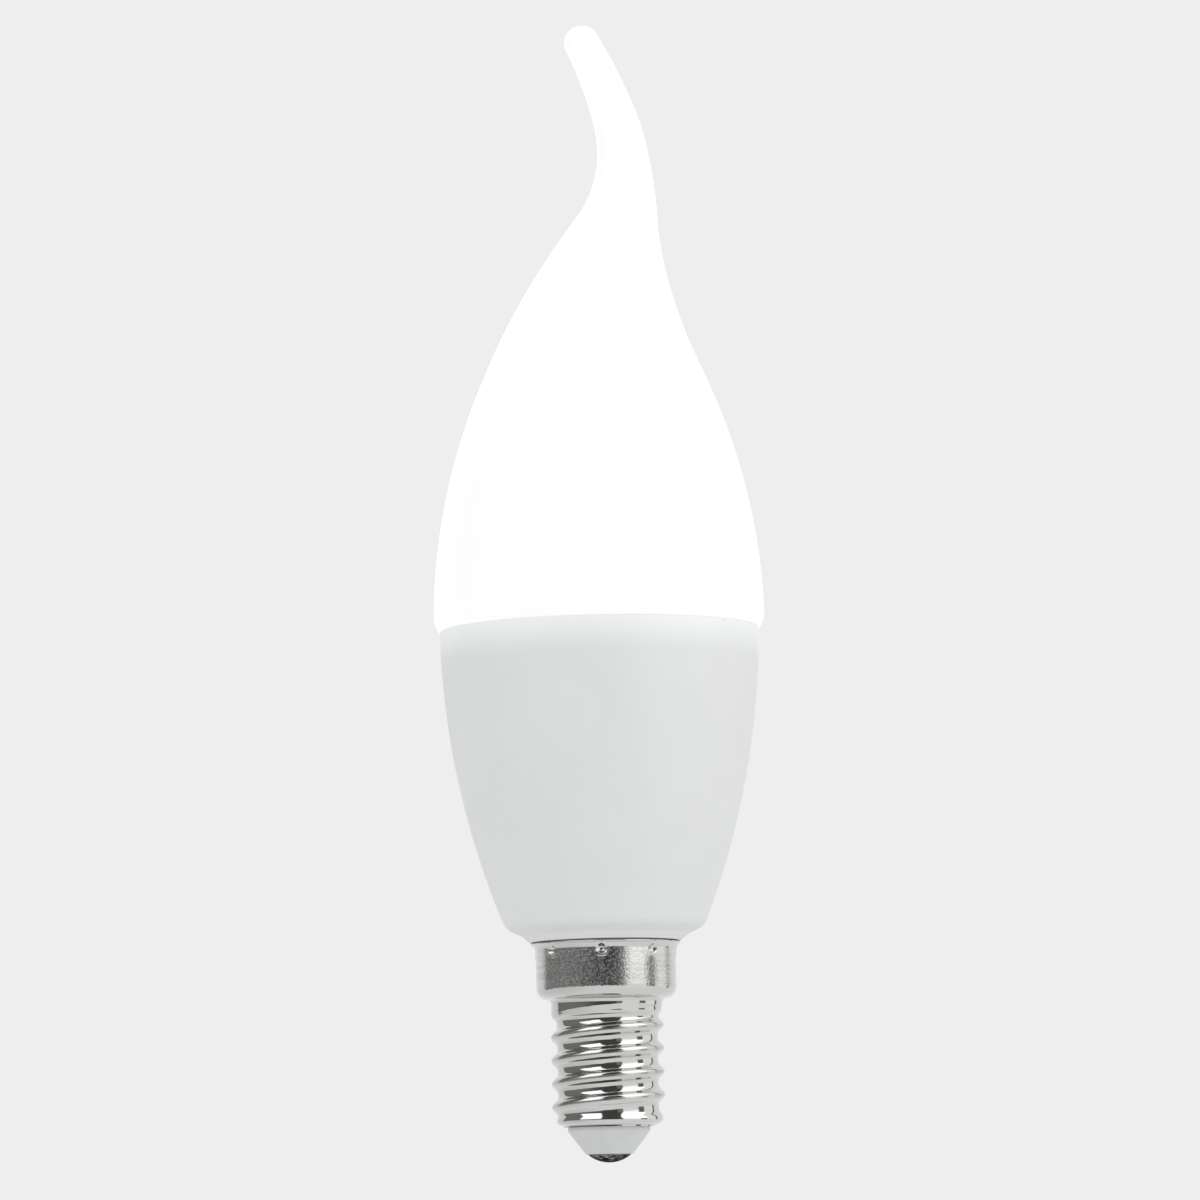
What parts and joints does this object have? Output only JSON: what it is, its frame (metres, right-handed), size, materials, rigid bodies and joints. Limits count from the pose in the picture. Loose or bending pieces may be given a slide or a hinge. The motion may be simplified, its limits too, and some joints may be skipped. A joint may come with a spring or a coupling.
{
  "type": "candle bulb",
  "caption": "Lit candle bulb: an opal dome drawn out into a bent flame tail on a flared plastic housing, with a small round-thread screw cap and a centre contact.",
  "frame": {"origin": "end of the centre contact, on the axis of the screw cap", "axes": "+Z along the axis of the cap, from the centre contact towards the flame tip; the tail swells towards +X and its tip leans back towards -X"},
  "size_m": [0.0404, 0.0404, 0.1395],
  "materials": {
    "contact_metal": "dark, mottled solder",
    "insulator_plastic": "moulded, light grey",
    "cap_nickel": "nickel plated, drawn",
    "housing_plastic": "moulded, light grey, fine matt grain",
    "diffuser_opal": "opal, lit from inside"
  },
  "bodies": {
    "root": {"centre_contact": "contact_metal", "insulator": "insulator_plastic", "screw_cap": "cap_nickel", "housing": "housing_plastic", "diffuser": "diffuser_opal"}
  },
  "joints": []
}
